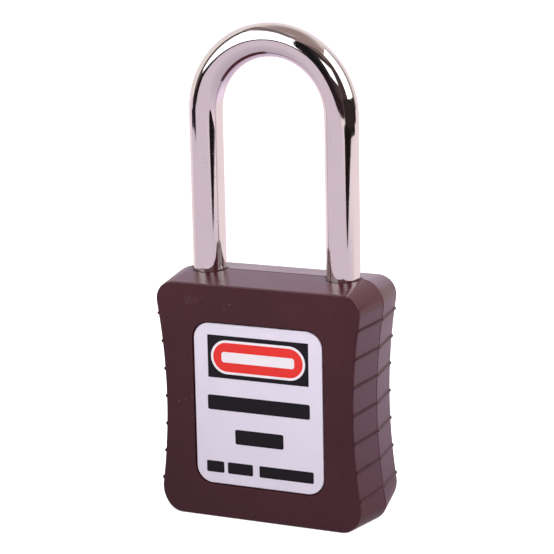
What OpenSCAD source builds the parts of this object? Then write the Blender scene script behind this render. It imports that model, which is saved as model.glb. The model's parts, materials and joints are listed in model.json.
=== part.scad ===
/* [Body] */
// Width across the waist at the parting plane, between the ribs
waist_w = 37.7; // [36:0.1:42]
// Depth from the label face to the back face
body_d = 17.7; // [16.5:0.1:20]
// Radius of the long hollow curve of each side
waist_r = 108; // [80:1:200]
// Lean of each side, from the parting plane to a face
side_draft = 0.9; // [0.2:0.05:1.5]
// Drop of the top, from the parting plane to a face
top_draft = 1; // [0.2:0.05:1.5]
// Radius of the two upper corners at the parting plane
top_corner_r = 4.3; // [3.5:0.1:6]
// Radius of the two lower corners at the parting plane
bottom_corner_r = 3; // [2.6:0.1:5]
// Radius of the two lower corners at the faces, before their draft
face_corner_r = 4.7; // [3.5:0.1:7]
// Rounding of the edge round each face
edge_r = 0.35; // [0.2:0.05:0.8]
// Depth of the fine groove that the mould's parting line leaves
seam_depth = 0.15; // [0.05:0.01:0.2]
// Width of that groove
seam_w = 0.35; // [0.2:0.05:0.6]
// Solid plastic over the latch cavity
top_wall = 7.05; // [5:0.05:9]
// How far the waist and the ribs lie under the middle of the height
waist_drop = 0.3; // [0:0.1:1]

/* [Ribs] */
// Number of grip ribs on each side
rib_count = 7; // [5:1:8]
// Distance from rib to rib
rib_pitch = 5.05; // [4:0.05:5.2]
// Height of a rib
rib_h = 0.3; // [0.2:0.05:0.6]
// Width of a rib at its root
rib_w = 0.68; // [0.5:0.02:1.4]
// Extra height of the bead where a rib crosses the parting line
bead_h = 0.1; // [0:0.02:0.2]

/* [Label] */
// Width of the label
label_w = 24.4; // [20:0.1:26]
// Height of the label
label_h = 29.3; // [24:0.1:31]
// Corner radius of the label
label_r = 3; // [1:0.1:5]
// Thickness of the label
label_t = 0.3; // [0.2:0.05:0.4]
// Depth of the recess that the label lies in
label_recess = 0.5; // [0.45:0.05:0.8]
// Gap round the label in its recess
label_gap = 0.3; // [0.1:0.05:0.5]
// How far the label's middle lies under the middle of the height
label_drop = 0.8; // [0:0.1:1.5]

/* [Shackle] */
// Diameter of the rod
rod_d = 6; // [5.6:0.1:6.4]
// Distance between the axes of the two legs
leg_spacing = 25.7; // [25.2:0.1:27]
// Clear height inside the loop, over the body
loop_clear = 38; // [25:1:76]
// Radial gap between a leg and its hole
leg_gap = 0.1; // [0.05:0.05:0.2]
// Width of the chamfer at the mouth of each leg hole
mouth_chamfer = 0.35; // [0.1:0.05:0.6]
// Chamfer on the end of each leg
leg_chamfer = 0.8; // [0.3:0.1:1.2]
// How far the raised toe stands clear of the top
toe_free = 1.4; // [0.5:0.1:3]
// Depth of the two latch notches
notch_depth = 1.15; // [1.05:0.05:1.3]
// Play of a latch bolt in its notch, above and below
notch_play = 0.3; // [0.2:0.05:0.5]
// Full rod left between the heel's notch and its neck
heel_land = 3.7; // [3:0.1:4.5]
// Radius of the heel's turned neck
neck_r = 1.85; // [1.6:0.05:1.9]
// Height of the heel's foot under the neck
foot_h = 2.75; // [1.5:0.05:3.5]

/* [Cylinder] */
// Radius of the plug
plug_r = 4.6; // [4.2:0.1:4.8]
// Running gap between plug and housing
plug_gap = 0.05; // [0.03:0.01:0.08]
// Wall of the housing round the plug
housing_wall = 1.35; // [1:0.05:1.5]
// Gap between the housing and the body
housing_gap = 0.1; // [0.05:0.01:0.15]
// Half width of the pin chest beside the plug
chest_half = 2.6; // [2.2:0.1:2.8]
// How far the pin chest reaches past the toe leg's axis, round the screw
chest_over = 2.15; // [1.8:0.05:2.5]
// Height of the first pin over the housing's foot
first_pin = 2.4; // [2:0.1:3]
// Distance from pin to pin
pin_pitch = 3.3; // [3:0.05:3.6]
// Radius of a pin
pin_r = 1.2; // [1:0.05:1.3]
// Gap round a pin in its chamber
pin_gap = 0.05; // [0.03:0.01:0.1]
// Length of a driver pin
driver_len = 3.6; // [3:0.1:4]
// Lengths of the six key pins, from the foot up
key_pin_len = [4.6, 3.6, 5.1, 4.1, 3.3, 4.8]; // [3:0.1:5.3]
// Height of the chest over the last pin, which takes the screw
screw_zone = 5.8; // [5:0.1:7]
// Thickness of the strip that closes the spring chambers
strip_t = 0.6; // [0.4:0.1:0.8]
// Radius of the plug's nose flange
nose_r = 5.4; // [5:0.1:5.6]
// Width of the keyway
keyway_w = 1.9; // [1.5:0.1:2.1]
// How far each ward stands into the keyway
ward = 0.5; // [0.2:0.1:0.7]
// Radius of the plug's tail
tail_r = 3; // [2.6:0.1:3.2]
// Depth of the clip's groove in the tail
clip_groove = 0.6; // [0.3:0.1:0.8]
// Thickness of the clip
clip_t = 0.8; // [0.5:0.1:1]
// Width of the driving tongue on the tail
tongue_w = 1.6; // [1.2:0.1:2.2]
// Height of the driving tongue
tongue_h = 2; // [1:0.1:3]

/* [Latch] */
// Height of a latch bolt
bolt_h = 2.8; // [2.4:0.1:3.2]
// Width of a latch bolt
bolt_w = 4; // [3:0.1:4.4]
// Travel of a latch bolt for a quarter turn of the plug
bolt_travel = 1.15; // [1.05:0.01:1.2]
// Gap between a drawn bolt and its leg
bolt_free = 0.15; // [0.1:0.01:0.2]
// Gap round a sliding bolt
slide_gap = 0.06; // [0.04:0.01:0.1]
// Lowest radius of the cam
cam_low_r = 3.4; // [3.2:0.1:3.6]
// Gap between the cam and a bolt's nose
cam_gap = 0.12; // [0.11:0.01:0.15]
// Height of the cam's hub under its lobes
cam_hub_h = 4.45; // [4:0.05:6]
// Radius of the cam's upper pivot
pivot_r = 1.5; // [1.2:0.1:1.8]
// Length of that pivot
pivot_h = 1.9; // [1.2:0.1:2.5]
// Head room between the bolts and the cavity's roof
roof_gap = 0.8; // [0.5:0.1:1.2]
// Radius of the pin that keeps the heel in the body
heel_pin_r = 1; // [0.8:0.1:1.1]
// Gap between that pin's tip and the heel's neck
heel_pin_gap = 0.2; // [0.1:0.05:0.25]

/* [Bottom cover] */
// How far each end of the cover reaches past the opening for the cylinder
cover_over = 0.35; // [0.2:0.05:0.8]
// Width of the cover
cover_w = 13.5; // [13:0.1:13.9]
// Corner radius of the cover
cover_r = 4.5; // [2:0.1:5]
// Thickness of the cover
cover_t = 2; // [1.5:0.1:3]
// How far the cover lies inside the bottom face
cover_sink = 0.25; // [0.2:0.05:0.5]
// Gap round the cover
cover_gap = 0.1; // [0.05:0.01:0.15]
// Distance of a snap hook from the middle, along the width of the body
hook_x = 9.2; // [8.6:0.1:10]
// Distance of a snap hook's inner face from the middle plane
hook_y = 4.7; // [4:0.1:4.9]
// Width of a snap hook
hook_w = 3; // [2:0.1:3.4]
// Thickness of a snap hook
hook_t = 1.1; // [0.8:0.1:1.2]
// Height of a snap hook
hook_h = 3.2; // [2.5:0.1:4]
// How far a hook's barb stands out
barb = 0.3; // [0.2:0.05:0.4]

/* [Screw and spring] */
// Thread radius of the cylinder screw
screw_r = 1.25; // [1:0.05:1.4]
// Head radius of the cylinder screw
screw_head_r = 2.4; // [2.2:0.05:2.6]
// Head height of the cylinder screw
screw_head_h = 1.3; // [1:0.1:1.6]
// Gap between the screw's head and the toe
screw_toe_gap = 0.35; // [0.2:0.05:0.6]
// Floor of the toe hole, which the screw clamps
toe_floor = 1.5; // [1:0.1:2]
// How far the screw reaches into the chest
screw_reach = 3.6; // [3:0.1:4]
// Floor under the shackle's spring
spring_floor = 1.3; // [1:0.1:2]
// Wire diameter of the shackle's spring
spring_wire = 0.7; // [0.5:0.1:0.8]
// Outer radius of the shackle's spring
spring_r = 2.7; // [2.3:0.1:2.8]
// Turns of the shackle's spring
spring_turns = 5; // [4:1:6]
// Wire diameter of a pin spring
pin_wire = 0.3; // [0.2:0.05:0.4]
// Turns of a pin spring
pin_spring_turns = 6; // [4:1:8]

/* [Hidden] */
$fn = 64;
pin_count = len(key_pin_len);
eps = 0.01;
seat = 0.05;

maroon = [0.27, 0.14, 0.16];
black = [0.12, 0.11, 0.12];
white = [0.88, 0.85, 0.91];
chrome = [0.85, 0.82, 0.84];
steel = [0.6, 0.6, 0.62];
brass = [0.78, 0.63, 0.3];
zinc = [0.66, 0.67, 0.69];

rod_r = rod_d / 2;
leg_x = leg_spacing / 2;
hole_r = rod_r + leg_gap;

// Heights, stacked from the bottom face up
cover_top = cover_sink + cover_t;
housing_z = cover_top + seat;
last_pin = first_pin + (pin_count - 1) * pin_pitch;
housing_len = last_pin + screw_zone;
housing_top = housing_z + housing_len;
tail_land = 0.4;
tail_h = clip_t + 4 * seat + tail_land;
tail_top = housing_top + tail_h;
cam_z = tail_top + seat;
lobe_z = cam_z + cam_hub_h;
bolt_z = lobe_z + seat;
bolt_top = bolt_z + bolt_h;
roof_z = bolt_top + roof_gap;
body_h = roof_z + top_wall;
mid_z = body_h / 2 - waist_drop;
label_z = body_h / 2 - label_drop;

// Heights of the shackle's features when closed
toe_floor_z = housing_top + housing_gap + toe_floor;
toe_end = toe_floor_z + seat + screw_head_h + screw_toe_gap;
notch_z = bolt_z - notch_play;
notch_top = bolt_top + notch_play;
lift = body_h - toe_end + toe_free;
neck_top = notch_z - heel_land;
heel_pin_z = neck_top - heel_pin_r - heel_pin_gap;
collar_z = heel_pin_z - heel_pin_r - seat - lift;
heel_end = collar_z - foot_h;
spring_z = cover_top + cover_gap + spring_floor;
crown_r = leg_x;
crown_z = body_h + loop_clear - (crown_r - rod_r);

// Radii of the cylinder and of the cavity round it
bore_r = plug_r + plug_gap;
housing_r = bore_r + housing_wall;
cavity_r = housing_r + housing_gap;
chamber_r = pin_r + pin_gap;
chest_reach = leg_x + chest_over;
cover_l = 2 * (chest_reach + housing_gap + cover_over);
driver_x = bore_r + plug_gap;
spring_x = driver_x + driver_len + seat;
strip_x = chest_reach - strip_t;
strip_rim = 0.4;
strip_half = chamber_r + strip_rim;
notch_floor = rod_r - notch_depth;
bolt_tip = leg_x - rod_r - bolt_free;
bolt_nose = cam_low_r + cam_gap;
face_y = body_d / 2;

// Height of pin i, and of the top of the strip over the last spring
function pin_z(i) = housing_z + first_pin + i * pin_pitch;
strip_top = housing_z + last_pin + chamber_r + strip_rim;

// Middle and tangent angle of the upper corner arc that meets the hollow side
hollow_x = waist_w / 2 + waist_r;
top_cz = body_h - top_corner_r;
top_cx = hollow_x - sqrt(pow(waist_r + top_corner_r, 2) - pow(top_cz - mid_z, 2));
top_a = asin((top_cz - mid_z) / (waist_r + top_corner_r));
top_join = top_cz - top_corner_r * sin(top_a);

// The same for the lower corner arc of radius r, which grows from the parting plane to the faces
function low_r(share) = bottom_corner_r + share * (face_corner_r - bottom_corner_r);
function low_cx(r) = hollow_x - sqrt(pow(waist_r + r, 2) - pow(mid_z - r, 2));
function low_a(r) = asin((mid_z - r) / (waist_r + r));
corner_steps = 10;
rib_zs = [for (i = [0 : rib_count - 1]) mid_z + (i - (rib_count - 1) / 2) * rib_pitch];

function sorted(v) = len(v) < 2 ? v :
    let (p = v[floor(len(v) / 2)])
    concat(sorted([for (e = v) if (e < p) e]), [p], sorted([for (e = v) if (e > p) e]));

// Side of the body at height z, with lower corners of radius r and no ribs: [x, z, normal x, normal z]
function side(z, r) =
    z > top_join ? let (x = top_cx + sqrt(max(0, pow(top_corner_r, 2) - pow(z - top_cz, 2))))
        [x, z, (x - top_cx) / top_corner_r, (z - top_cz) / top_corner_r] :
    z < r + r * sin(low_a(r)) ? let (x = low_cx(r) + sqrt(max(0, r * r - pow(z - r, 2))))
        [x, z, (x - low_cx(r)) / r, (z - r) / r] :
    let (x = hollow_x - sqrt(pow(waist_r, 2) - pow(z - mid_z, 2)))
        [x, z, (hollow_x - x) / waist_r, (mid_z - z) / waist_r];

// Share of a rib's height at height z
function rib_at(z) = max([for (r = rib_zs) max(0, 1 - pow(2 * (z - r) / rib_w, 2))]);

all_zs = sorted(concat(
    [for (i = [0 : corner_steps])
        face_corner_r * (1 + sin(-90 + i * (90 + low_a(face_corner_r)) / corner_steps))],
    [for (i = [0 : corner_steps]) top_cz + top_corner_r * sin(-top_a + i * (90 + top_a) / corner_steps)],
    [for (r = rib_zs) for (s = [-2 : 2]) r + s * rib_w / 4],
    [for (r = rib_zs) r + rib_pitch / 2]));
side_zs = [for (i = [0 : len(all_zs) - 1])
    if (all_zs[i] < body_h + eps && (i == 0 || all_zs[i] - all_zs[i - 1] > 3 * eps)) all_zs[i]];

// Right half of the outline at depth y, inset by the face's rounded edge, with the draft and the seam's groove
function half_ring(y, inset) = [for (z = side_zs)
    let (share = abs(y) / face_y, s = side(z, low_r(share)), n = [s[2], s[3]],
        bump = rib_at(z) * (rib_h + (y == 0 ? bead_h : 0)),
        groove = y == 0 ? seam_depth * (1 - rib_at(z)) : 0)
    [s[0], s[1]] + n * (bump - inset - groove)
        - share * [side_draft * n[0], top_draft * max(0, n[1])]];

function ring(y, inset) = let (h = half_ring(y, inset), n = len(h))
    concat([for (p = h) [-p[0], y, p[1]]], [for (i = [n - 1 : -1 : 0]) [h[i][0], y, h[i][1]]]);

// Triangles between rings of n points, and the two end faces
function loft_faces(rings, n) = concat(
    [[for (j = [0 : n - 1]) j]],
    [for (i = [0 : rings - 2]) for (j = [0 : n - 1]) let (k = (j + 1) % n)
        [i * n + j, (i + 1) * n + j, i * n + k]],
    [for (i = [0 : rings - 2]) for (j = [0 : n - 1]) let (k = (j + 1) % n)
        [i * n + k, (i + 1) * n + j, (i + 1) * n + k]],
    [[for (j = [n - 1 : -1 : 0]) (rings - 1) * n + j]]);

// The loft runs on past both faces, and the slab trims it to two flat ones
module body_form() {
    bevel = edge_r * (1 - sqrt(0.5));
    half = [[face_y + bevel, 2 * edge_r - bevel], [face_y - bevel, bevel], [face_y - edge_r, 0], [seam_w / 2, 0]];
    stations = concat([for (s = half) [-s[0], s[1]]], [[0, 0]], [for (i = [3 : -1 : 0]) half[i]]);
    rings = [for (s = stations) ring(s[0], s[1])];
    intersection() {
        polyhedron([for (r = rings) for (p = r) p], loft_faces(len(rings), len(rings[0])), convexity = 6);
        translate([-waist_w, -face_y, -1]) cube([2 * waist_w, body_d, body_h + 2]);
    }
}

module rounded_rect(w, h, r) {
    square([w - 2 * r, h], center = true);
    square([w, h - 2 * r], center = true);
    for (x = [-1, 1], y = [-1, 1]) translate([x * (w / 2 - r), y * (h / 2 - r)]) circle(r);
}

// Upright panel in the face's plane, from depth y0 to y1
module panel(w, h, r, y0, y1) {
    translate([0, y1, label_z]) rotate([90, 0, 0]) linear_extrude(y1 - y0) rounded_rect(w, h, r);
}

module cylinder_outline(grow) {
    circle(housing_r + grow);
    translate([0, -chest_half - grow]) square([chest_reach + grow, 2 * (chest_half + grow)]);
}

// Cross section of a snap hook, or of its pocket with grow > 0
module hook_section(grow) {
    top = hook_h + 2 * grow;
    polygon([[-grow, -eps], [hook_t + grow, -eps], [hook_t + grow, hook_h - 4 * barb - grow],
        [hook_t + barb + grow, hook_h - 3 * barb - grow], [hook_t + barb + grow, hook_h - 2 * barb],
        [hook_t + grow, top], [-grow, top]]);
}

module hooks(grow) {
    for (x = [-1, 1], y = [0, 1]) mirror([0, y, 0])
        translate([x * hook_x - hook_w / 2 - grow, hook_y, cover_top])
            rotate([90, 0, 90]) linear_extrude(hook_w + 2 * grow) hook_section(grow);
}

module leg_hole(x, floor_z) {
    translate([x, 0, floor_z]) cylinder(r = hole_r, h = body_h - floor_z + 1);
    translate([x, 0, body_h - seam_depth - mouth_chamfer])
        cylinder(r1 = hole_r, r2 = hole_r + 1 + mouth_chamfer, h = 1 + mouth_chamfer);
}

module body_shell() {
    color(maroon) difference() {
        body_form();
        panel(label_w + 2 * label_gap, label_h + 2 * label_gap, label_r + label_gap,
            -face_y - 1, -face_y + label_recess);
        translate([0, 0, -1]) cylinder(r = cavity_r, h = roof_z + 1);
        translate([0, 0, -1]) linear_extrude(housing_top + housing_gap + 1) cylinder_outline(housing_gap);
        translate([0, 0, -1]) linear_extrude(cover_top + 1)
            rounded_rect(cover_l + 2 * cover_gap, cover_w + 2 * cover_gap, cover_r + cover_gap);
        hooks(slide_gap);
        leg_hole(-leg_x, spring_z);
        leg_hole(leg_x, toe_floor_z);
        translate([leg_x, 0, housing_top]) cylinder(r = screw_r + housing_gap, h = toe_floor_z);
        translate([0, 0, bolt_z + bolt_h / 2])
            cube([2 * leg_x - rod_r, bolt_w + 2 * slide_gap, bolt_h + 2 * slide_gap], center = true);
        translate([0, 0, roof_z - 1]) cylinder(r = pivot_r + slide_gap, h = pivot_h + 1 + seat);
        translate([-leg_x, 0, heel_pin_z]) rotate([0, 90, 0]) cylinder(r = heel_pin_r, h = leg_x - cavity_r + 1);
    }
}

module label() {
    color(white) panel(label_w, label_h, label_r, -face_y + label_recess - label_t, -face_y + label_recess);
}

module bottom_cover() {
    color(black) {
        difference() {
            translate([0, 0, cover_sink]) linear_extrude(cover_t) rounded_rect(cover_l, cover_w, cover_r);
            cylinder(r = nose_r + cover_gap, h = 3 * cover_t);
        }
        hooks(0);
    }
}

module leg(x, end_z) {
    translate([x, 0, end_z]) cylinder(r1 = rod_r - leg_chamfer, r2 = rod_r, h = leg_chamfer);
    translate([x, 0, end_z + leg_chamfer]) cylinder(r = rod_r, h = crown_z - end_z - leg_chamfer);
}

// Flat cut for a latch bolt in the inner side of the leg at side s
module notch(s) {
    translate([s * (leg_x - notch_floor) - (s > 0 ? rod_d : 0), -rod_d, notch_z])
        cube([rod_d, 2 * rod_d, notch_top - notch_z]);
}

module shackle() {
    color(chrome) difference() {
        union() {
            leg(-leg_x, heel_end);
            leg(leg_x, toe_end);
            translate([0, 0, crown_z]) rotate([90, 0, 0]) rotate_extrude(angle = 180)
                translate([crown_r, 0]) circle(rod_r);
        }
        notch(-1);
        notch(1);
        translate([-leg_x, 0, collar_z]) difference() {
            cylinder(r = rod_d, h = neck_top - collar_z);
            translate([0, 0, -1]) cylinder(r = neck_r, h = neck_top - collar_z + 2);
        }
    }
}

// Helical spring on the z axis, standing on z = 0
module coil(outer_r, wire_r, height, turns, per_turn, sides) {
    last = turns * per_turn;
    mean_r = outer_r - wire_r;
    rings = [for (i = [0 : last]) let (a = 360 * i / per_turn, z = wire_r + (height - 2 * wire_r) * i / last)
        [for (j = [0 : sides - 1]) let (b = -360 * j / sides, r = mean_r + wire_r * cos(b))
            [r * cos(a), r * sin(a), z + wire_r * sin(b)]]];
    polyhedron([for (r = rings) for (p = r) p], loft_faces(last + 1, sides), convexity = 8);
}

module shackle_spring() {
    color(steel) translate([-leg_x, 0, spring_z + seat])
        coil(spring_r, spring_wire / 2, heel_end - spring_z - 2 * seat, spring_turns, 12, 6);
}

module heel_pin() {
    tip = -leg_x + neck_r + heel_pin_gap;
    color(steel) translate([tip, 0, heel_pin_z]) rotate([0, 90, 0])
        cylinder(r = heel_pin_r, h = -cavity_r - tip - seat);
}

module cylinder_housing() {
    color(zinc) difference() {
        translate([0, 0, housing_z]) linear_extrude(housing_len) cylinder_outline(0);
        cylinder(r = bore_r, h = housing_top + 1);
        for (i = [0 : pin_count - 1]) translate([0, 0, pin_z(i)]) rotate([0, 90, 0])
            cylinder(r = chamber_r, h = chest_reach + 1);
        translate([strip_x, -strip_half, -1]) cube([strip_t + 1, 2 * strip_half, strip_top + 1]);
        translate([leg_x, 0, housing_top - screw_reach]) cylinder(r = screw_r, h = screw_reach + 1);
    }
}

module spring_strip() {
    color(brass) translate([strip_x, -strip_half, housing_z])
        cube([strip_t, 2 * strip_half, strip_top - housing_z]);
}

module cylinder_screw() {
    socket_r = 0.9;
    color(steel) translate([leg_x, 0, 0]) difference() {
        union() {
            translate([0, 0, toe_floor_z + seat]) cylinder(r = screw_head_r, h = screw_head_h);
            translate([0, 0, housing_top - screw_reach + seat])
                cylinder(r = screw_r, h = toe_floor_z - housing_top + screw_reach);
        }
        translate([0, 0, toe_floor_z + screw_head_h / 3]) cylinder(r = socket_r, h = screw_head_h, $fn = 6);
    }
}

// Keyway as seen from below, open towards the plug's rim, with a ward on each side
module keyway_outline() {
    half = keyway_w / 2;
    inner = 0.5 * plug_r;
    upper = -0.1 * plug_r;
    lower = -0.5 * plug_r;
    ward_h = 0.2 * plug_r;
    polygon([[-half, inner], [half, inner], [half, lower], [half - ward, lower],
        [half - ward, lower - ward_h], [half, lower - ward_h], [half, -2 * plug_r], [-half, -2 * plug_r],
        [-half, upper - ward_h], [-half + ward, upper - ward_h], [-half + ward, upper], [-half, upper]]);
}

module plug() {
    nose_z = 2 * cover_sink;
    groove_z = housing_top + seat;
    color(brass) difference() {
        union() {
            translate([0, 0, nose_z]) cylinder(r = nose_r, h = housing_z - seat - nose_z);
            translate([0, 0, nose_z]) cylinder(r = plug_r, h = housing_top - nose_z);
            translate([0, 0, housing_top]) cylinder(r = tail_r, h = tail_h);
            translate([-tail_r, -tongue_w / 2, tail_top - eps]) cube([2 * tail_r, tongue_w, tongue_h + eps]);
        }
        translate([0, 0, -1]) linear_extrude(pin_z(pin_count - 1) + chamber_r + 2) keyway_outline();
        for (i = [0 : pin_count - 1]) translate([0, -chamber_r, pin_z(i)]) rotate([-90, 0, 0])
            cylinder(r = chamber_r, h = 2 * plug_r);
        translate([0, 0, groove_z]) difference() {
            cylinder(r = plug_r, h = clip_t + 2 * seat);
            translate([0, 0, -1]) cylinder(r = tail_r - clip_groove, h = clip_t + 3);
        }
    }
}

// Split ring that hooks the plug's tail
module plug_clip() {
    groove_r = tail_r - clip_groove;
    split = 0.7;
    gap_half = split * groove_r;
    clip_in = groove_r + seat;
    clip_out = plug_r - 4 * seat;
    color(steel) translate([0, 0, housing_top + 2 * seat]) difference() {
        cylinder(r = clip_out, h = clip_t);
        translate([0, 0, -1]) cylinder(r = clip_in, h = clip_t + 2);
        translate([-gap_half, 0, -1]) cube([2 * gap_half, 2 * plug_r, clip_t + 2]);
    }
}

// Radius of the two-lobed cam: it rises and falls evenly, once in each half turn
function lobe(a) = cam_low_r + bolt_travel * (1 - abs((a % 180) / 90 - 1));

module cam() {
    hub_r = cam_low_r - 4 * seat;
    collar = 0.9;
    slot_h = tongue_h + 2 * seat;
    color(zinc) difference() {
        union() {
            translate([0, 0, cam_z]) cylinder(r = hub_r, h = cam_hub_h);
            translate([0, 0, lobe_z]) linear_extrude(bolt_h + 2 * seat)
                polygon([for (a = [0 : 5 : 355]) lobe(a) * [cos(a), sin(a)]]);
            translate([0, 0, lobe_z]) cylinder(r = pivot_r + collar, h = roof_z - lobe_z - seat);
            translate([0, 0, lobe_z]) cylinder(r = pivot_r, h = roof_z - lobe_z + pivot_h);
        }
        translate([-cam_low_r, -tongue_w / 2 - seat, cam_z - 1])
            cube([2 * cam_low_r, tongue_w + 2 * seat, slot_h + 1]);
    }
}

// Latch bolt towards +x, drawn back, with a rounded nose on the cam and a chamfered tip
module bolt_form() {
    nose = bolt_w / 3;
    lead = 0.4;
    translate([0, 0, bolt_z]) linear_extrude(bolt_h) polygon(concat(
        [for (a = [90 : 15 : 270]) [bolt_nose + nose + nose * cos(a), nose * sin(a)]],
        [[bolt_nose + 2 * nose, -bolt_w / 2], [bolt_tip - lead, -bolt_w / 2], [bolt_tip, -bolt_w / 2 + lead],
            [bolt_tip, bolt_w / 2 - lead], [bolt_tip - lead, bolt_w / 2], [bolt_nose + 2 * nose, bolt_w / 2]]));
}

module heel_bolt() {
    color(steel) mirror([1, 0, 0]) bolt_form();
}

module toe_bolt() {
    color(steel) bolt_form();
}

// Key pin i, with its tip towards the keyway and its end rounded to the plug
module key_pin(i) {
    end = plug_r - seat / 2;
    tip = pin_r * 0.6;
    tip_r = pin_r * 0.35;
    color(brass) intersection() {
        translate([0, end - key_pin_len[i], pin_z(i)]) rotate([-90, 0, 0]) {
            cylinder(r1 = tip_r, r2 = pin_r, h = tip);
            translate([0, 0, tip]) cylinder(r = pin_r, h = key_pin_len[i] - tip);
        }
        cylinder(r = end, h = housing_top);
    }
}

module driver_pin(i) {
    waist = 0.25;
    rim = driver_len * 0.35;
    color(steel) translate([driver_x, 0, pin_z(i)]) rotate([0, 90, 0]) difference() {
        cylinder(r = pin_r, h = driver_len);
        translate([0, 0, rim]) difference() {
            cylinder(r = 2 * pin_r, h = driver_len - 2 * rim);
            translate([0, 0, -1]) cylinder(r = pin_r - waist, h = driver_len);
        }
    }
}

module pin_spring(i) {
    color(steel) translate([spring_x, 0, pin_z(i)]) rotate([0, 90, 0])
        coil(pin_r - pin_gap, pin_wire / 2, strip_x - spring_x - seat, pin_spring_turns, 8, 4);
}

body_shell();
label();
bottom_cover();
shackle();
shackle_spring();
heel_pin();
cylinder_housing();
spring_strip();
cylinder_screw();
plug();
plug_clip();
cam();
heel_bolt();
toe_bolt();
for (i = [0 : pin_count - 1]) key_pin(i);
for (i = [0 : pin_count - 1]) driver_pin(i);
for (i = [0 : pin_count - 1]) pin_spring(i);
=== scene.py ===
import json
from math import cos, pi, radians, sin
import bmesh
import bpy
from mathutils import Matrix, Vector


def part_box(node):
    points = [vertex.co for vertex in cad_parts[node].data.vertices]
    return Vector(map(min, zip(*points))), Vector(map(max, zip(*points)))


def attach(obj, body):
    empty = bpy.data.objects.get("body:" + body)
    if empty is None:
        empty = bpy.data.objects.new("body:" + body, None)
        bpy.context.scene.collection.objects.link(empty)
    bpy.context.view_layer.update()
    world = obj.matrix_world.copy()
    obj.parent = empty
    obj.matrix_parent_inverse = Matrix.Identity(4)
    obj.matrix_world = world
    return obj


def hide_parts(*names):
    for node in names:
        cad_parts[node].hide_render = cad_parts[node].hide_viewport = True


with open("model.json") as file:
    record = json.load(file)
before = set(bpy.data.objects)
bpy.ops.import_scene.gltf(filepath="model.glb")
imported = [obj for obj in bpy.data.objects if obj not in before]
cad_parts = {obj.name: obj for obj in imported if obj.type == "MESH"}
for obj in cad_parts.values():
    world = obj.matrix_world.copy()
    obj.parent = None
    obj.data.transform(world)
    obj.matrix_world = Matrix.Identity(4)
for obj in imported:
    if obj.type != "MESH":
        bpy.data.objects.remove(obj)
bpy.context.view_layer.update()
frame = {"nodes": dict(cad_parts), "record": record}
nodes = frame["nodes"]
mm = 0.001
weldGap = 2e-6  # vertices of a CAD mesh closer than this are one
sameSpot = 1e-6
samePlane = 1e-7
noiseRange = (0.3, 0.7)  # a noise texture's values lie mostly between these
print("frame loaded with", len(nodes), "nodes")


# selecting and finishing

def makeActive(piece):
    bpy.ops.object.select_all(action="DESELECT")
    piece.select_set(True)
    bpy.context.view_layer.objects.active = piece


def editStart(piece):
    makeActive(piece)
    bpy.ops.object.mode_set(mode="EDIT")


def editEnd():
    bpy.ops.object.mode_set(mode="OBJECT")


# in edit mode, selects only the edges whose two ends the test accepts
def pickEdges(piece, wanted):
    bpy.ops.mesh.select_mode(type="EDGE")
    work = bmesh.from_edit_mesh(piece.data)
    for edge in work.edges:
        edge.select_set(False)
    for edge in work.edges:
        if wanted(edge.verts[0].co, edge.verts[1].co):
            edge.select_set(True)
    bmesh.update_edit_mesh(piece.data)


def applyModifiers(piece):
    makeActive(piece)
    for modifier in list(piece.modifiers):
        bpy.ops.object.modifier_apply(modifier=modifier.name)


# smooth shading up to an angle, with the large flat faces kept flat
def smoothPiece(piece, angle):
    makeActive(piece)
    bpy.ops.object.shade_smooth_by_angle(angle=radians(angle))
    weighted = piece.modifiers.new("weighted", "WEIGHTED_NORMAL")
    weighted.keep_sharp = True
    weighted.weight = 60
    applyModifiers(piece)


# the object goes to the origin with its place in its mesh, and rides on its body
def settle(piece, body, slotName, material, *replaced):
    makeActive(piece)
    bpy.ops.object.transform_apply(location=True, rotation=True, scale=True)
    piece.data.materials.clear()
    piece.data.materials.append(material)
    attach(piece, body)
    if replaced:
        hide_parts(*replaced)
    return piece


# a copy of a CAD node, its loose triangles joined and each flat area made one face
def mergedCopy(nodeName, pieceName, flatAngle):
    piece = bpy.data.objects.new(pieceName, nodes[nodeName].data.copy())
    piece.data.name = pieceName
    bpy.context.scene.collection.objects.link(piece)
    editStart(piece)
    bpy.ops.mesh.customdata_custom_splitnormals_clear()
    bpy.ops.mesh.select_all(action="SELECT")
    bpy.ops.mesh.remove_doubles(threshold=weldGap)
    bpy.ops.mesh.dissolve_limited(angle_limit=radians(flatAngle))
    editEnd()
    return piece


# material helpers

def startMaterial(name):
    material = bpy.data.materials.new(name)
    material.use_nodes = True
    return material, material.node_tree, material.node_tree.nodes["Principled BSDF"]


def addNode(tree, kind, settings=None, inputs=None):
    made = tree.nodes.new(kind)
    for key, value in (settings or {}).items():
        setattr(made, key, value)
    for key, value in (inputs or {}).items():
        if hasattr(value, "is_output"):
            tree.links.new(value, made.inputs[key])
        else:
            made.inputs[key].default_value = value
    return made


# the shaded point in the piece's own coordinates
def ownPlace(tree):
    return addNode(tree, "ShaderNodeTexCoord").outputs["Object"]


def objectPlace(tree, stretch=(1, 1, 1)):
    return addNode(tree, "ShaderNodeMapping", inputs={"Vector": ownPlace(tree), "Scale": stretch}).outputs[0]


def axesOf(tree, vector):
    return addNode(tree, "ShaderNodeSeparateXYZ", inputs={0: vector}).outputs


def surfaceNormal(tree):
    return addNode(tree, "ShaderNodeNewGeometry").outputs["Normal"]


def noiseAt(tree, place, scale, detail=3, rough=0.5):
    return addNode(tree, "ShaderNodeTexNoise",
                   inputs={"Vector": place, "Scale": scale, "Detail": detail, "Roughness": rough}).outputs[0]


# maps a range to another and clamps it
def spread(tree, value, low, high, newLow, newHigh, smooth=False):
    settings = {"interpolation_type": "SMOOTHSTEP"} if smooth else {}
    inputs = {"Value": value, "From Min": low, "From Max": high, "To Min": newLow, "To Max": newHigh}
    return addNode(tree, "ShaderNodeMapRange", settings, inputs).outputs[0]


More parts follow.
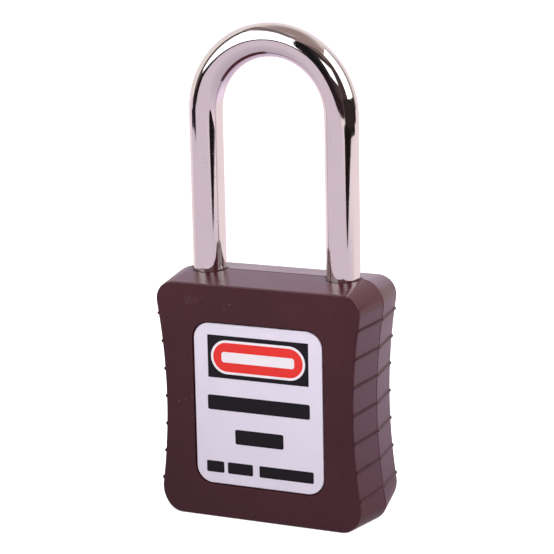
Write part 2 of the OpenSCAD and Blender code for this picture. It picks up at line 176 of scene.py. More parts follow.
def sums(tree, operation, first, second):
    return addNode(tree, "ShaderNodeMath", {"operation": operation}, {0: first, 1: second}).outputs[0]


def mixColour(tree, share, first, second, blend="MIX"):
    settings = {"data_type": "RGBA", "blend_type": blend}
    return addNode(tree, "ShaderNodeMix", settings, {0: share, 6: first, 7: second}).outputs[2]


def vectorSum(tree, operation, first, second=(0, 0, 0)):
    return addNode(tree, "ShaderNodeVectorMath", {"operation": operation}, {0: first, 1: second}).outputs


def darker(colour, share):
    return tuple(channel * share for channel in colour[:3]) + (1,)


def bumpFrom(tree, height, strength, distance, normal=None):
    inputs = {"Height": height, "Strength": strength, "Distance": distance}
    if normal is not None:
        inputs["Normal"] = normal
    return addNode(tree, "ShaderNodeBump", inputs=inputs).outputs[0]


# moulded body

plastic = {
    "colour": (0.0384, 0.0056, 0.0108, 1),
    "mottle": (0.0480, 0.0079, 0.0137, 1),
    "rubbed": (0.20, 0.12, 0.14, 1),
    "roughness": (0.20, 0.32),
    "ior": 1.5,
    "gloss": 0.46,
    "cloudScale": 70,
    "cloudRange": (0.35, 0.7),
    "waveScale": 260,
    "waveHeight": 1.5,  # against the grain's height of 1
    "grainScale": 5200,
    "grainDepth": 0.000012,
    "grainStrength": 0.6,
    "hairStretch": (90, 90, 4000),
    "hairRange": (0.70, 0.78),
    "hairPatches": (0.5, 0.65),  # range of the waves over which hairlines appear
    "hairShare": 0.12,
    # the sloping rib flanks get painted shade within this zone: a darker colour and less gloss
    "ribZone": (0.0045, 0.0382, 0.0138),  # lowest and highest z, least distance sideways
    "ribFade": (0.001, 0.0005),  # over these lengths in height and sideways
    "ribSlope": (0.20, 0.42),  # slope at which the shade begins and is full
    "ribPatches": (0.4, 0.6, 0.8),  # range of the waves, and the share that stays at its low end
    "ribShade": 0.66,
    "ribGloss": 0.175,
}

# kind, x, y and z of the middle in mm, radius in mm, strength
wearMarks = {
    "ringMark": ("ring", (-13.03, -8.85, 39.52), 0.62, 0.30),
    "ringMiddle": ("spot", (-13.03, -8.85, 39.55), 0.30, 0.30),
    "ringSmear": ("spot", (-11.6, -8.85, 39.6), 0.60, 0.12),
    "scuffUpper": ("spot", (-4.95, -8.85, 39.3), 0.28, 0.35),
    "scuffLower": ("spot", (-6.1, -8.85, 38.35), 0.35, 0.18),
    "sideSpeck": ("spot", (19.0, -4.0, 13.2), 0.30, 0.45),
    "toeSpeck": ("spot", (19.2, 2.6, 24.6), 0.25, 0.35),
    "hairlineLow": ("spot", (-15.43, -8.85, 20.84), 0.30, 0.25),
    "hairlineMid": ("spot", (-14.1, -8.85, 21.43), 0.30, 0.25),
    "hairlineHigh": ("spot", (-12.81, -8.85, 22.03), 0.30, 0.25),
}
wearLook = {
    "ringWidth": 0.35,  # against the ring's radius
    "patchScale": 1400,
    "patchRange": (0.4, 0.6),
    "patchLeast": 0.2,
}


# share of wear near a place: a soft spot, or a thin ring round it
def wearAt(tree, kind, middle, radius, strength):
    look = wearLook
    spot = tuple(value * mm for value in middle)
    gap = vectorSum(tree, "DISTANCE", ownPlace(tree), spot)["Value"]
    if kind == "ring":
        gap = sums(tree, "ABSOLUTE", sums(tree, "SUBTRACT", gap, radius * mm), 0)
        patches = noiseAt(tree, objectPlace(tree), look["patchScale"], detail=1)
        patchy = spread(tree, patches, *look["patchRange"], look["patchLeast"], 1)
        return sums(tree, "MULTIPLY", spread(tree, gap, 0, radius * mm * look["ringWidth"], strength, 0), patchy)
    return spread(tree, gap, 0, radius * mm, strength, 0)


# share of painted shade on a rib's sloping flanks on the two waisted sides
def ribShadeShare(tree, look):
    low, high, aside = look["ribZone"]
    fadeUp, fadeAside = look["ribFade"]
    axes = axesOf(tree, ownPlace(tree))
    slope = axesOf(tree, surfaceNormal(tree))[2]
    share = spread(tree, sums(tree, "ABSOLUTE", slope, 0), *look["ribSlope"], 0, 1)
    inside = sums(tree, "MULTIPLY", spread(tree, axes[2], low, low + fadeUp, 0, 1),
                  spread(tree, axes[2], high - fadeUp, high, 1, 0))
    outside = spread(tree, sums(tree, "ABSOLUTE", axes[0], 0), aside, aside + fadeAside, 0, 1)
    return sums(tree, "MULTIPLY", sums(tree, "MULTIPLY", share, inside), outside)


def mouldedPlastic(name, look, marks=()):
    material, tree, shader = startMaterial(name)
    place = objectPlace(tree)
    cloud = noiseAt(tree, place, look["cloudScale"], detail=4, rough=0.6)
    grain = noiseAt(tree, place, look["grainScale"], detail=2, rough=0.6)
    waves = noiseAt(tree, place, look["waveScale"], detail=2)
    hairs = noiseAt(tree, objectPlace(tree, look["hairStretch"]), 1, detail=2)
    hairShare = sums(tree, "MULTIPLY", spread(tree, hairs, *look["hairRange"], 0, look["hairShare"]),
                     spread(tree, waves, *look["hairPatches"], 0, 1))
    cloudy = mixColour(tree, spread(tree, cloud, *look["cloudRange"], 0, 1), look["colour"], look["mottle"])
    colour = mixColour(tree, hairShare, cloudy, look["rubbed"])
    for mark in marks:
        colour = mixColour(tree, wearAt(tree, *mark), colour, look["rubbed"])
    # painted shade on the sloping rib flanks: a darker colour and a lower gloss
    paintedRibShade = sums(tree, "MULTIPLY", ribShadeShare(tree, look), spread(tree, waves, *look["ribPatches"], 1))
    ribShadeColour = darker(look["colour"], look["ribShade"])
    tree.links.new(mixColour(tree, paintedRibShade, colour, ribShadeColour), shader.inputs["Base Color"])
    tree.links.new(spread(tree, paintedRibShade, 0, 1, look["gloss"], look["ribGloss"]), shader.inputs["Specular IOR Level"])
    tree.links.new(spread(tree, cloud, *noiseRange, *look["roughness"]), shader.inputs["Roughness"])
    height = sums(tree, "ADD", grain, sums(tree, "MULTIPLY", waves, look["waveHeight"]))
    tree.links.new(bumpFrom(tree, height, look["grainStrength"], look["grainDepth"]), shader.inputs["Normal"])
    shader.inputs["IOR"].default_value = look["ior"]
    return material


shellPlastic = mouldedPlastic("shellPlastic", plastic, wearMarks.values())

bodyLook = {
    "flatAngle": 0.2,
    "rimBevel": 0.00012,
    "rimReach": 0.0130,  # the recess lies within this distance of the middle
    "rimMargin": 0.001,  # and within this much above and below the label
    "rimAngle": 45,  # with edges at least this sharp
    "shadeAngle": 40,
}


def makeMouldedBody():
    look = bodyLook
    body = mergedCopy("body_shell", "mouldedBody", look["flatAngle"])
    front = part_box("body_shell")[0].y
    recessLow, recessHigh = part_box("label")[0].z - look["rimMargin"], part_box("label")[1].z + look["rimMargin"]

    def onRim(a, b):
        inFace = all(abs(p.y - front) < weldGap for p in (a, b))
        return inFace and all(abs(p.x) < look["rimReach"] and recessLow < p.z < recessHigh for p in (a, b))

    editStart(body)
    pickEdges(body, onRim)
    work = bmesh.from_edit_mesh(body.data)
    for edge in work.edges:
        if edge.select and (len(edge.link_faces) != 2 or edge.calc_face_angle() < radians(look["rimAngle"])):
            edge.select_set(False)
    bmesh.update_edit_mesh(body.data)
    bpy.ops.mesh.bevel(offset=look["rimBevel"], segments=2, affect="EDGES", clamp_overlap=True)
    editEnd()
    smoothPiece(body, look["shadeAngle"])
    settle(body, "lock_body", "body_plastic", shellPlastic, "body_shell")


makeMouldedBody()
print("moulded body made")


# shackle

shackleLook = {
    "sides": 96,
    "bendSteps": 72,
    "endChamfer": 0.0008,
    "heelEnd": 0.00925,
    "toeEnd": 0.0303,
    "notchLow": 0.03265,
    "notchHigh": 0.03605,
    "notchDepth": 0.00115,
    "neckLow": 0.0120,
    "neckHigh": 0.02895,
    "neckRadius": 0.00185,
    "shadeAngle": 30,
}

chromeLook = {
    "bright": (0.90, 0.86, 0.87, 1),
    "dull": (0.84, 0.80, 0.82, 1),
    "roughness": (0.035, 0.075),
    "drawnStretch": (2200, 2200, 60),
    "pitScale": 1500,
    "pitSize": 0.16,  # against the distance between pits
    "patchScale": 120,
    "patchRange": (0.52, 0.66),
    "waveScale": 420,
    "waveHeight": 0.35,  # against a pit's depth of 1
    "bumpStrength": 0.45,
    "bumpDepth": 0.00003,
    "bendZ": 0.07175,  # height at which the legs run into the bend
    "bendEase": 0.0040,  # the bend starts softly over this length below and above
    "easeTilt": 0.075,  # the most that the normal leans
}


# leans the normal near the start of the bend, as a bent rod curves gradually there
def easedNormal(tree, look):
    axes = axesOf(tree, ownPlace(tree))
    low, middle, high = look["bendZ"] - look["bendEase"], look["bendZ"], look["bendZ"] + look["bendEase"]
    ease = sums(tree, "MINIMUM", spread(tree, axes[2], low, middle, 0, 1),
                spread(tree, axes[2], middle, high, 1, 0))
    tilt = sums(tree, "MULTIPLY", sums(tree, "MULTIPLY", ease, ease), look["easeTilt"])
    normal = surfaceNormal(tree)
    outward = sums(tree, "MULTIPLY", axesOf(tree, normal)[0], sums(tree, "SIGN", axes[0], 0))
    lean = addNode(tree, "ShaderNodeCombineXYZ", inputs={2: sums(tree, "MULTIPLY", outward, tilt)})
    leaned = vectorSum(tree, "ADD", normal, lean.outputs[0])[0]
    return vectorSum(tree, "NORMALIZE", leaned)[0]


def chromeFinish(name, look):
    material, tree, shader = startMaterial(name)
    place = objectPlace(tree)
    pits = addNode(tree, "ShaderNodeTexVoronoi", inputs={"Vector": place, "Scale": look["pitScale"]})
    patches = noiseAt(tree, place, look["patchScale"])
    pitShare = sums(tree, "MULTIPLY", spread(tree, pits.outputs["Distance"], 0, look["pitSize"], 1, 0),
                    spread(tree, patches, *look["patchRange"], 0, 1))
    drawn = noiseAt(tree, objectPlace(tree, look["drawnStretch"]), 1, detail=2)
    waves = sums(tree, "MULTIPLY", noiseAt(tree, place, look["waveScale"], detail=2), look["waveHeight"])
    normal = bumpFrom(tree, sums(tree, "SUBTRACT", waves, pitShare), look["bumpStrength"], look["bumpDepth"],
                      easedNormal(tree, look))
    tree.links.new(mixColour(tree, patches, look["bright"], look["dull"]), shader.inputs["Base Color"])
    tree.links.new(spread(tree, drawn, *noiseRange, *look["roughness"]), shader.inputs["Roughness"])
    tree.links.new(normal, shader.inputs["Normal"])
    shader.inputs["Metallic"].default_value = 1
    return material


chrome = chromeFinish("brightChrome", chromeLook)


# extrudes the selected ring straight up or down, and then widens or narrows it
def ringUp(rise, grow=1.0, centre=(0, 0, 0)):
    bpy.ops.mesh.extrude_region_move(TRANSFORM_OT_translate={"value": (0, 0, rise)})
    if grow != 1.0:
        bpy.ops.transform.resize(value=(grow, grow, 1), center_override=centre)


def makeShackle():
    low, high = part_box("shackle")
    rodRadius = (high.y - low.y) / 2
    legX = high.x - rodRadius
    crownZ = high.z - legX - rodRadius
    look = shackleLook
    tip = rodRadius - look["endChamfer"]
    bpy.ops.object.select_all(action="DESELECT")
    bpy.ops.mesh.primitive_circle_add(vertices=look["sides"], radius=tip, location=(-legX, 0, look["heelEnd"]))
    rod = bpy.context.object
    rod.name = "shackleRod"
    makeActive(rod)
    bpy.ops.object.transform_apply(location=True, rotation=True, scale=True)
    heel = (-legX, 0, 0)
    bpy.ops.object.mode_set(mode="EDIT")
    bpy.ops.mesh.select_all(action="SELECT")
    ringUp(look["endChamfer"], rodRadius / tip, heel)
    ringUp(look["neckLow"] - look["heelEnd"] - look["endChamfer"])
    neckShare = look["neckRadius"] / rodRadius
    ringUp(0, neckShare, heel)
    ringUp(look["neckHigh"] - look["neckLow"])
    ringUp(0, 1 / neckShare, heel)
    ringUp(crownZ - look["neckHigh"])
    bpy.ops.mesh.spin(steps=look["bendSteps"], angle=pi, center=(0, 0, crownZ), axis=(0, -1, 0))
    ringUp(look["toeEnd"] + look["endChamfer"] - crownZ)
    ringUp(-look["endChamfer"], tip / rodRadius, (legX, 0, 0))
    bpy.ops.mesh.edge_face_add()
    pickEdges(rod, lambda *ends: all(abs(p.z - look["heelEnd"]) < sameSpot for p in ends))
    bpy.ops.mesh.edge_face_add()
    bpy.ops.mesh.select_all(action="SELECT")
    bpy.ops.mesh.remove_doubles(threshold=sameSpot)
    bpy.ops.mesh.normals_make_consistent(inside=False)
    editEnd()
    notchZ = (look["notchLow"] + look["notchHigh"]) / 2
    notchHeight = look["notchHigh"] - look["notchLow"]
    inner = legX - rodRadius + look["notchDepth"]  # the flat floor of each notch
    for side in (-1, 1):
        bpy.ops.object.select_all(action="DESELECT")
        bpy.ops.mesh.primitive_cube_add(size=1, location=(side * (inner - rodRadius), 0, notchZ),
                                        scale=(2 * rodRadius, 4 * rodRadius, notchHeight))
        cutter = bpy.context.object
        cut = rod.modifiers.new("notch", "BOOLEAN")
        cut.operation = "DIFFERENCE"
        cut.solver = "EXACT"
        cut.object = cutter
        applyModifiers(rod)
        bpy.data.objects.remove(cutter)
    smoothPiece(rod, look["shadeAngle"])
    settle(rod, "shackle_body", "shackle_chrome", chrome, "shackle")


makeShackle()
print("shackle made")


# label with its printed fields

labelLook = {
    "cornerRadius": 0.0030,
    "edgeBevel": 0.00008,
    "film": (0.755, 0.700, 0.820, 1),
    "ink": (0.006, 0.005, 0.008, 1),
    "red": (0.78, 0.037, 0.031, 1),
    "pale": (0.86, 0.80, 0.86, 1),
    "inkStep": 0.000012,  # thickness of one layer of ink
    "shadeAngle": 50,
    "roughness": (0.32, 0.42),
    "gloss": 0.25,
    "cloudScale": 160,
    "cloudShade": 0.93,
    "bumpScale": 900,
    "bumpStrength": 0.25,
    "bumpDepth": 0.00001,
}

# width, height, corner radius, x and z of the middle in mm, layer of ink, ink
printedFields = {
    "headerBlock": (19.25, 7.73, 0.05, 0.06, 29.73, 1, "ink"),
    "headerRing": (18.0, 6.15, 3.06, 0.08, 29.73, 2, "pale"),
    "headerBar": (17.1, 5.25, 2.61, 0.08, 29.73, 3, "red"),
    "headerLine": (13.9, 1.9, 0.5, 0.08, 29.73, 4, "pale"),
    "lineOne": (19.6, 2.7, 0.35, 0.02, 21.3, 1, "ink"),
    "lineTwo": (9.3, 2.7, 0.35, 0.05, 15.3, 1, "ink"),
    "lineThreeA": (3.4, 2.1, 0.25, -8.6, 9.4, 1, "ink"),
    "lineThreeB": (4.9, 2.1, 0.25, -3.75, 9.4, 1, "ink"),
    "lineThreeC": (10.4, 2.1, 0.25, 5.15, 9.4, 1, "ink"),
}


def printedFilm(name, colour, look):
    material, tree, shader = startMaterial(name)
    place = objectPlace(tree)
    cloud = noiseAt(tree, place, look["cloudScale"])
    grain = noiseAt(tree, place, look["bumpScale"], detail=2)
    bump = bumpFrom(tree, grain, look["bumpStrength"], look["bumpDepth"])
    tree.links.new(mixColour(tree, cloud, colour, darker(colour, look["cloudShade"])), shader.inputs["Base Color"])
    tree.links.new(spread(tree, cloud, *noiseRange, *look["roughness"]), shader.inputs["Roughness"])
    tree.links.new(bump, shader.inputs["Normal"])
    shader.inputs["Specular IOR Level"].default_value = look["gloss"]
    return material


inks = {key: printedFilm("print" + key.capitalize(), labelLook[key], labelLook)
        for key in ("film", "ink", "red", "pale")}


# a flat plate in the plane of the face, with its four corners rounded
def roundedPlate(name, width, height, radius, x, z, backY, frontY, segments=10):
    depth = backY - frontY
    bpy.ops.object.select_all(action="DESELECT")
    bpy.ops.mesh.primitive_cube_add(size=1, location=(x, (backY + frontY) / 2, z), scale=(width, depth, height))
    plate = bpy.context.object
    plate.name = name
    makeActive(plate)
    bpy.ops.object.transform_apply(location=True, rotation=True, scale=True)
    bpy.ops.object.mode_set(mode="EDIT")
    pickEdges(plate, lambda a, b: abs(a.x - b.x) < samePlane and abs(a.z - b.z) < samePlane)
    bpy.ops.mesh.bevel(offset=radius, segments=segments, affect="EDGES", clamp_overlap=False)
    bpy.ops.mesh.select_all(action="SELECT")
    bpy.ops.mesh.remove_doubles(threshold=samePlane)
    editEnd()
    return plate


def makeLabel():
    low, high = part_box("label")
    look = labelLook
    middleX, middleZ = (low.x + high.x) / 2, (low.z + high.z) / 2
    card = roundedPlate("labelCard", high.x - low.x, high.z - low.z, look["cornerRadius"], middleX, middleZ,
                        high.y, low.y)
    editStart(card)
    pickEdges(card, lambda *ends: all(abs(p.y - low.y) < samePlane for p in ends))
    bpy.ops.mesh.bevel(offset=look["edgeBevel"], segments=2, affect="EDGES", clamp_overlap=False)
    editEnd()
    smoothPiece(card, look["shadeAngle"])
    settle(card, "lock_body", "label_film", inks["film"], "label")
    for name, (width, height, radius, x, z, layer, ink) in printedFields.items():
        plate = roundedPlate(name, width * mm, height * mm, radius * mm, x * mm, z * mm,
                             low.y + look["inkStep"], low.y - layer * look["inkStep"])
        smoothPiece(plate, look["shadeAngle"])
        settle(plate, "lock_body", "label_film", inks[ink])


makeLabel()
print("label made")


# pieces seen from below and inside

# colour, least and greatest roughness
metals = {
    "hard_steel": ((0.42, 0.42, 0.43, 1), (0.26, 0.40)),
    "spring_steel": ((0.36, 0.36, 0.38, 1), (0.22, 0.36)),
    "housing_zinc": ((0.46, 0.46, 0.48, 1), (0.39, 0.53)),
    "plug_brass": ((0.62, 0.43, 0.17, 1), (0.21, 0.35)),
}
metalLook = {
    "cloudScale": 300,
    "cloudShade": 0.8,
    "ringStretch": (400, 400, 9000),
    "ringStrength": 0.2,
    "ringDepth": 0.00001,
    "flatAngle": 0.5,
    "shadeAngle": 35,
}


def turnedMetal(name, colour, roughness, look):
    material, tree, shader = startMaterial(name)
    cloud = noiseAt(tree, objectPlace(tree), look["cloudScale"])
    rings = noiseAt(tree, objectPlace(tree, look["ringStretch"]), 1, detail=2)
    tree.links.new(mixColour(tree, cloud, colour, darker(colour, look["cloudShade"])), shader.inputs["Base Color"])
    tree.links.new(spread(tree, cloud, *noiseRange, *roughness), shader.inputs["Roughness"])
    tree.links.new(bumpFrom(tree, rings, look["ringStrength"], look["ringDepth"]), shader.inputs["Normal"])
    shader.inputs["Metallic"].default_value = 1
    return material


finishes = {slotName: turnedMetal(slotName + "Finish", *values, metalLook) for slotName, values in metals.items()}
coverLook = dict(plastic, colour=(0.020, 0.014, 0.016, 1), mottle=(0.028, 0.020, 0.023, 1),
                 rubbed=(0.09, 0.08, 0.08, 1))
finishes["cover_plastic"] = mouldedPlastic("coverPlastic", coverLook)
finishes["body_plastic"] = shellPlastic
finishes["label_film"] = inks["film"]
finishes["shackle_chrome"] = chrome

for row in frame["record"]["subparts"]:
    node = nodes[row["node"]]
    node.data.materials.clear()
    node.data.materials.append(finishes[row["material_slot"]])


def makeFinished(nodeName, pieceName, body, slotName):
    piece = mergedCopy(nodeName, pieceName, metalLook["flatAngle"])
    smoothPiece(piece, metalLook["shadeAngle"])
    settle(piece, body, slotName, finishes[slotName], nodeName)


makeFinished("bottom_cover", "bottomCover", "lock_body", "cover_plastic")
makeFinished("plug", "plugCore", "plug_body", "plug_brass")
print("inner pieces finished")


# floor, studio and camera

studio = {
    "floorRadius": 3.0,
    "floorDrop": 0.0001,
    "floorColour": (0.80, 0.79, 0.80, 1),
    "floorBounce": (0.42, 0.40, 0.41, 1),  # its colour in the light that it throws back
    "floorGlow": 0.78,  # its own light near the lock, rising to 1 over the reach
    "glowReach": (0.25, 0.8),
    "worldLight": (0.26, 0.2548, 0.26, 1),
    "wallGloss": (0.85, 0.77, 0.73, 1),
    "ceilingGloss": (0.34, 0.255, 0.235, 1),
    "ceilingRise": (0.76, 0.98),  # upward part of the direction, from the walls to the ceiling
    "cardBase": 0.04,  # height from which the lamps and cards are aimed
    "cardFade": (-0.25, 0.5),  # part of a card's width over which its shade turns
}

# what the floor shows in reflections, and over which distances from the lock it changes: painted shade darkens it
# in front, and a painted shadow darkens it near the lock
floorGloss = {
    "frontNearShadow": (0.52, 0.44, 0.49, 1),
    "front": (0.69, 0.58, 0.64, 1),
    "frontReach": (0.03, 0.17),
    "backNearShadow": (0.71, 0.57, 0.72, 1),
    "backMiddle": (0.97, 0.80, 0.96, 1),
    "backNearReach": (0.02, 0.11),
    "straightShade": (0.80, 0.77, 0.79, 1),  # painted shade: dims it straight behind the lock
    "straightReach": (0.025, 0.065),
    "back": (0.915, 0.775, 0.79, 1),
    "backReach": (0.15, 0.20),
    "behind": (-0.02, 0.06),  # from the front's colours to the back's, along y
    "aside": (0.17, 0.34),  # and along x
}

# azimuth and elevation in degrees, distance, width and height in metres, brightness
softBoxes = {
    "boxLeft": (-41, 32, 0.62, 0.62, 0.50, 1.2),
    "boxRight": (98, 36, 0.62, 0.44, 0.54, 1.9),
    "boxSmall": (32, 29, 0.55, 0.20, 0.15, 1.6),
    "boxBack": (-160, 50, 0.80, 0.60, 0.40, 1.2),
    "boxNear": (28, 52, 0.12, 0.10, 0.10, 5.6),
    "boxSide": (105, 25, 0.50, 0.40, 0.40, 3.2),
}
unmirrored = ("boxBack", "boxNear", "boxSide")  # these light the part, but show in no reflection

# azimuth, elevation, distance, width, height, turn, shade at the left and at the right
flags = {
    "flagRight": (26, 23, 0.90, 1.40, 0.90, -14, (0.010, 0.009, 0.010, 1), (0.130, 0.088, 0.088, 1)),
    "flagFar": (66, 24, 0.95, 0.50, 1.00, 0, (0.050, 0.032, 0.032, 1), (0.100, 0.070, 0.066, 1)),
    "flagCrown": (22, 57, 0.80, 0.76, 0.22, 0, (0.170, 0.120, 0.105, 1), (0.165, 0.118, 0.105, 1)),
    "flagOver": (50, 67, 0.70, 1.40, 0.16, 0, (0.325, 0.240, 0.220, 1), (0.325, 0.240, 0.220, 1)),
    "flagEdge": (132, 28, 0.70, 0.22, 0.70, 0, (0.34, 0.29, 0.28, 1), (0.42, 0.37, 0.36, 1)),
    "flagLow": (-60, 3.0, 0.70, 0.42, 0.22, 0, (0.030, 0.018, 0.020, 1), (0.008, 0.007, 0.008, 1)),
    "flagThin": (-32, 6.5, 0.68, 0.46, 0.075, 0, (0.020, 0.016, 0.018, 1), (0.020, 0.016, 0.018, 1)),
    "flagLine": (12, 3, 0.60, 0.64, 0.10, 0, (0.020, 0.010, 0.014, 1), (0.035, 0.018, 0.022, 1)),
    "flagFoot": (88, 5, 0.50, 0.92, 0.15, 0, (0.030, 0.022, 0.022, 1), (0.032, 0.020, 0.020, 1)),
    "flagFrame": (-77, 28, 0.60, 0.15, 0.58, 16, (0.12, 0.095, 0.09, 1), (0.12, 0.095, 0.09, 1)),
    "flagTop": (-56, 63.5, 0.60, 0.66, 0.13, 0, (0.21, 0.165, 0.165, 1), (0.17, 0.14, 0.15, 1)),
    "cardBack": (-167, 17, 0.90, 0.72, 0.46, 0, (1.21, 1.06, 1.24, 1), (1.26, 1.06, 1.36, 1)),
}

# the dark ends of the table, as the legs mirror them: shade and corners
wedges = {
    "flagWedge": ((0.012, 0.008, 0.008, 1), (
        (0.185, -0.150), (0.202, -0.188), (0.222, -0.220), (0.245, -0.252), (0.268, -0.284),
        (0.295, -0.325), (0.305, -0.375), (0.360, -0.450), (0.620, -0.500), (0.760, -0.100),
        (0.720, 0.360), (0.406, 0.250), (0.448, 0.100), (0.440, 0.000), (0.405, -0.046),
        (0.368, -0.078), (0.333, -0.097), (0.292, -0.117), (0.252, -0.126), (0.215, -0.132))),
    "flagLeft": ((0.020, 0.014, 0.016, 1), (
        (-0.328, -0.262), (-0.345, -0.250), (-0.362, -0.237), (-0.380, -0.222), (-0.403, -0.203),
        (-0.430, -0.172), (-0.445, -0.150), (-0.482, -0.025), (-0.541, -0.046), (-0.670, -0.057),
        (-0.760, -0.060), (-0.800, -0.300), (-0.600, -0.560), (-0.520, -0.473), (-0.458, -0.387),
        (-0.402, -0.338), (-0.368, -0.309))),
}
wedgeRise = 0.0005  # above the ground


# turns a card to face the middle from that direction
def cardTurn(azimuth, elevation, turn=0):
    return (Matrix.Rotation(radians(azimuth), 4, "Z") @ Matrix.Rotation(radians(90 - elevation), 4, "X")
            @ Matrix.Rotation(radians(turn), 4, "Z"))


def cardPlace(azimuth, elevation, distance):
    level = cos(radians(elevation)) * distance
    return Vector((sin(radians(azimuth)) * level, -cos(radians(azimuth)) * level,
                   sin(radians(elevation)) * distance + studio["cardBase"]))


# a card's own light, which may turn to another shade from its left edge to its right
def glowing(name, shade, farShade=None):
    material, tree, shader = startMaterial(name)
    tree.nodes.remove(shader)
    if farShade:
        across = axesOf(tree, ownPlace(tree))[0]
        shade = mixColour(tree, spread(tree, across, *studio["cardFade"], 0, 1), shade, farShade)
    glow = addNode(tree, "ShaderNodeEmission", inputs={"Color": shade, "Strength": 1.0})
    tree.links.new(glow.outputs[0], tree.nodes["Material Output"].inputs["Surface"])
    return material


def onlyInReflections(piece):
    piece.visible_camera = False
    piece.visible_diffuse = False
    piece.visible_shadow = False
    piece.visible_transmission = False
    piece.visible_volume_scatter = False


# the floor's colour in reflections, with painted shade and a painted shadow of the lock near it
def floorSheen(tree, reach):
    look = floorGloss
    axes = axesOf(tree, ownPlace(tree))
    behind = spread(tree, axes[1], *look["behind"], 0, 1, smooth=True)
    aside = spread(tree, axes[0], *look["aside"], 0, 1, smooth=True)
    inFront = mixColour(tree, spread(tree, reach, *look["frontReach"], 0, 1), look["frontNearShadow"], look["front"])
    away = spread(tree, reach, *look["backNearReach"], 0, 1)
    atBack = mixColour(tree, away, look["backNearShadow"], look["backMiddle"])
    straight = spread(tree, axes[0], *look["straightReach"], 1, 0)
    atBack = mixColour(tree, straight, atBack, look["straightShade"], "MULTIPLY")
    atBack = mixColour(tree, spread(tree, reach, *look["backReach"], 0, 1), atBack, look["back"])
    return mixColour(tree, sums(tree, "MAXIMUM", behind, aside), inFront, atBack)


# a pale floor with its own light, which another colour replaces in reflections, and clear from below
def paleFloor():
    material, tree, shader = startMaterial("paleFloor")
    tree.nodes.remove(shader)
    path = addNode(tree, "ShaderNodeLightPath").outputs
    seen = sums(tree, "MAXIMUM", path["Is Camera Ray"], path["Is Transmission Ray"])
    bounce = mixColour(tree, path["Is Diffuse Ray"], studio["floorColour"], studio["floorBounce"])
    matt = addNode(tree, "ShaderNodeBsdfDiffuse", inputs={"Color": bounce})
    reach = vectorSum(tree, "LENGTH", ownPlace(tree))["Value"]
    glow = spread(tree, reach, *studio["glowReach"], studio["floorGlow"], 1)
    light = addNode(tree, "ShaderNodeEmission", inputs={"Color": (1, 1, 1, 1), "Strength": glow})
    pale = addNode(tree, "ShaderNodeAddShader", inputs={0: matt.outputs[0], 1: light.outputs[0]})
    shown = addNode(tree, "ShaderNodeMixShader", inputs={0: seen, 1: matt.outputs[0], 2: pale.outputs[0]})
    mirrored = addNode(tree, "ShaderNodeEmission", inputs={"Color": floorSheen(tree, reach), "Strength": 1.0})
    above = addNode(tree, "ShaderNodeMixShader",
                    inputs={0: path["Is Glossy Ray"], 1: shown.outputs[0], 2: mirrored.outputs[0]})
    below = addNode(tree, "ShaderNodeNewGeometry").outputs["Backfacing"]
    clear = addNode(tree, "ShaderNodeBsdfTransparent")
    final = addNode(tree, "ShaderNodeMixShader", inputs={0: below, 1: above.outputs[0], 2: clear.outputs[0]})
    tree.links.new(final.outputs[0], tree.nodes["Material Output"].inputs["Surface"])
    return material


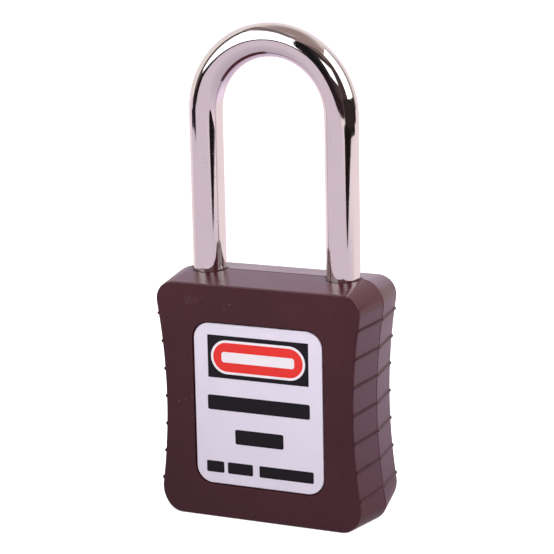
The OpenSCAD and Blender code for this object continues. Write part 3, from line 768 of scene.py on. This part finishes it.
def makeStudio():
    bpy.ops.object.select_all(action="DESELECT")
    bpy.ops.mesh.primitive_circle_add(vertices=128, radius=studio["floorRadius"], fill_type="NGON",
                                      location=(0, 0, -studio["floorDrop"]))
    floor = bpy.context.object
    floor.name = "studioFloor"
    floor.data.materials.append(paleFloor())

    for name, (azimuth, elevation, distance, width, height, brightness) in softBoxes.items():
        lamp = bpy.data.lights.new(name, "AREA")
        lamp.shape = "RECTANGLE"
        lamp.size, lamp.size_y = width, height
        lamp.energy = brightness * pi * width * height
        box = bpy.data.objects.new(name, lamp)
        bpy.context.scene.collection.objects.link(box)
        box.matrix_world = (Matrix.Translation(cardPlace(azimuth, elevation, distance))
                            @ cardTurn(azimuth, elevation))
        box.visible_camera = False
        box.visible_glossy = name not in unmirrored

    for name, (azimuth, elevation, distance, width, height, turn, nearShade, farShade) in flags.items():
        bpy.ops.object.select_all(action="DESELECT")
        bpy.ops.mesh.primitive_plane_add(size=1)
        flag = bpy.context.object
        flag.name = name
        flag.matrix_world = (Matrix.Translation(cardPlace(azimuth, elevation, distance))
                             @ cardTurn(azimuth, elevation, turn) @ Matrix.Diagonal((width, height, 1, 1)))
        flag.data.materials.append(glowing(name + "Card", nearShade, farShade))
        onlyInReflections(flag)

    for name, (shade, corners) in wedges.items():
        bpy.ops.object.select_all(action="DESELECT")
        bpy.ops.mesh.primitive_circle_add(vertices=len(corners), fill_type="NGON")
        card = bpy.context.object
        card.name = name
        for vertex, (x, y) in zip(card.data.vertices, corners):
            vertex.co = (x, y, wedgeRise)
        card.data.materials.append(glowing(name + "Card", shade))
        onlyInReflections(card)


def makeWorld():
    world = bpy.data.worlds.new("studioWorld")
    bpy.context.scene.world = world
    world.use_nodes = True
    tree = world.node_tree
    tree.nodes.clear()
    path = addNode(tree, "ShaderNodeLightPath").outputs
    rise = axesOf(tree, addNode(tree, "ShaderNodeTexCoord").outputs["Generated"])[2]
    ceiling = spread(tree, rise, *studio["ceilingRise"], 0, 1, smooth=True)
    glossy = mixColour(tree, ceiling, studio["wallGloss"], studio["ceilingGloss"])
    lit = mixColour(tree, path["Is Glossy Ray"], studio["worldLight"], glossy)
    seen = sums(tree, "MAXIMUM", path["Is Camera Ray"], path["Is Transmission Ray"])
    colour = mixColour(tree, seen, lit, (1, 1, 1, 1))
    back = addNode(tree, "ShaderNodeBackground", inputs={"Color": colour, "Strength": 1.0})
    out = addNode(tree, "ShaderNodeOutputWorld")
    tree.links.new(back.outputs[0], out.inputs["Surface"])


cameraLook = {
    "azimuth": 24.37,
    "elevation": 13.05,
    "roll": -1.16,
    "distance": 0.36334,
    "aim": (0.00018, 0, 0.04273),
    "lens": 134.02,
    "sensor": 36,
    "nearest": 0.01,
}


def makeCamera():
    look = cameraLook
    view = bpy.data.cameras.new("photoCamera")
    view.sensor_fit = "HORIZONTAL"
    view.sensor_width = look["sensor"]
    view.lens = look["lens"]
    view.clip_start = look["nearest"]
    camera = bpy.data.objects.new("photoCamera", view)
    bpy.context.scene.collection.objects.link(camera)
    level = cos(radians(look["elevation"])) * look["distance"]
    place = Vector(look["aim"]) + Vector((sin(radians(look["azimuth"])) * level,
                                          -cos(radians(look["azimuth"])) * level,
                                          sin(radians(look["elevation"])) * look["distance"]))
    camera.matrix_world = Matrix.Translation(place) @ cardTurn(look["azimuth"], look["elevation"], look["roll"])
    bpy.context.scene.camera = camera


makeStudio()
makeWorld()
makeCamera()
bpy.context.scene.view_settings.view_transform = "Standard"
print("studio and camera set")
